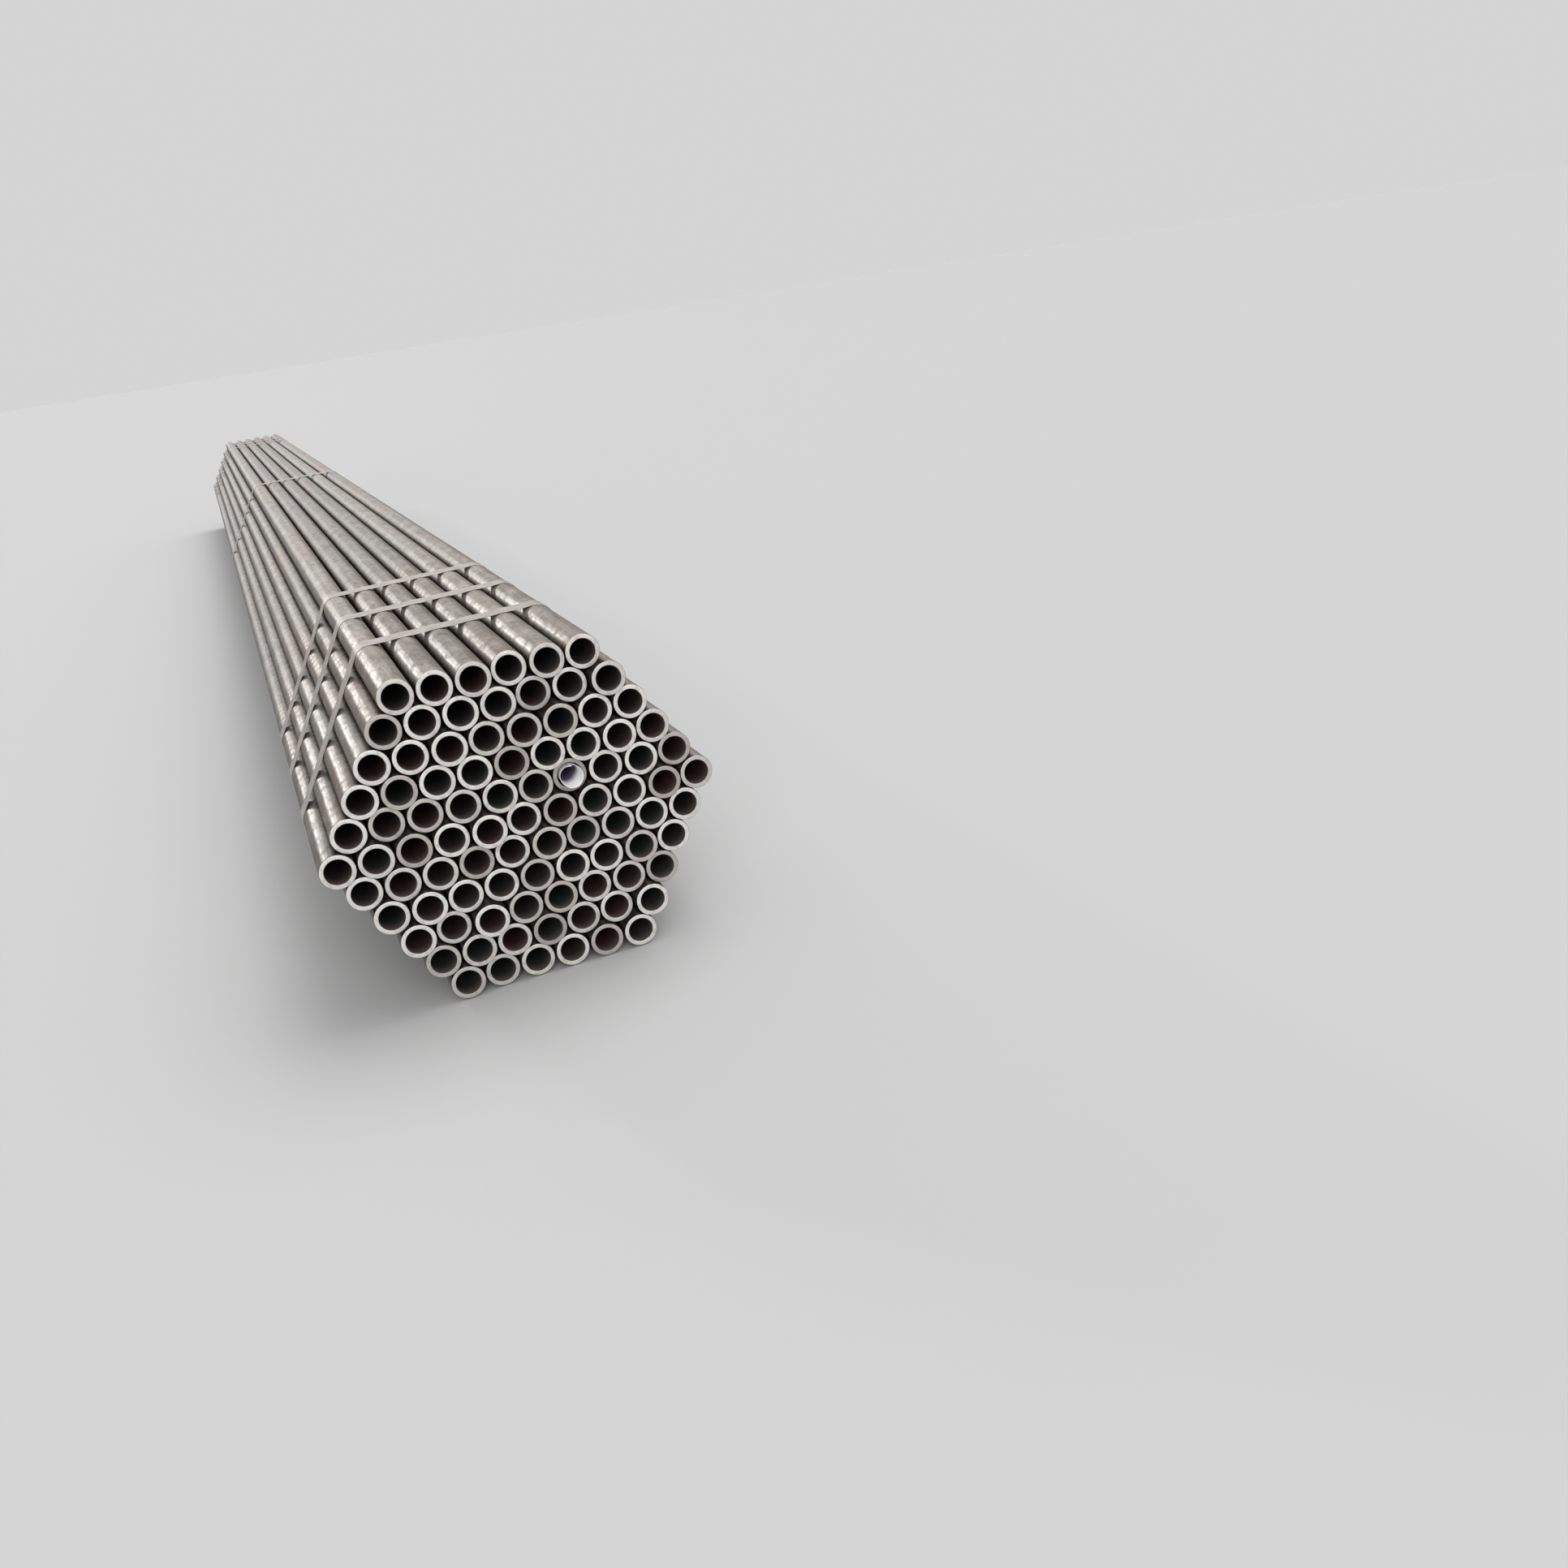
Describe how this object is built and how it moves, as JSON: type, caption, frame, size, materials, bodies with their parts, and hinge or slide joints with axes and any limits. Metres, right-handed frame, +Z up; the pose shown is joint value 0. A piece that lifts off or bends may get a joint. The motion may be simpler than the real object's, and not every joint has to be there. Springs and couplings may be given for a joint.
{
  "type": "bundle of steel pipes",
  "caption": "Hexagonal bundle of thick-walled round steel pipes, laid in nested layers and held by flat steel straps, with a blank tag rolled up in one bore.",
  "frame": {"origin": "on the floor under the bundle's middle: the centre of the bottom of its box", "axes": "+Y along the pipes, away from the tagged end; +Z up through the layers; +X across a layer"},
  "size_m": [0.4812, 6.02, 0.4064],
  "materials": {
    "pipe_steel": "weathered mill scale, satin, with cut bright ends",
    "strap_steel": "bare strip, satin, dulled",
    "seal_steel": "bare sheet, satin, dulled",
    "tag_paper": "matt, blank"
  },
  "bodies": {
    "root": {"pipe_layer_01": "pipe_steel", "pipe_layer_02": "pipe_steel", "pipe_layer_03": "pipe_steel", "pipe_layer_04": "pipe_steel", "pipe_layer_05": "pipe_steel", "pipe_layer_06": "pipe_steel", "pipe_layer_07": "pipe_steel", "pipe_layer_08": "pipe_steel", "pipe_layer_09": "pipe_steel", "pipe_layer_10": "pipe_steel", "pipe_layer_11": "pipe_steel", "strap_1": "strap_steel", "strap_2": "strap_steel", "strap_3": "strap_steel", "strap_4": "strap_steel", "strap_5": "strap_steel", "strap_6": "strap_steel", "strap_7": "strap_steel", "strap_seal_1": "seal_steel", "strap_seal_2": "seal_steel", "strap_seal_3": "seal_steel", "strap_seal_4": "seal_steel", "strap_seal_5": "seal_steel", "strap_seal_6": "seal_steel", "strap_seal_7": "seal_steel", "paper_tag": "tag_paper"}
  },
  "joints": []
}
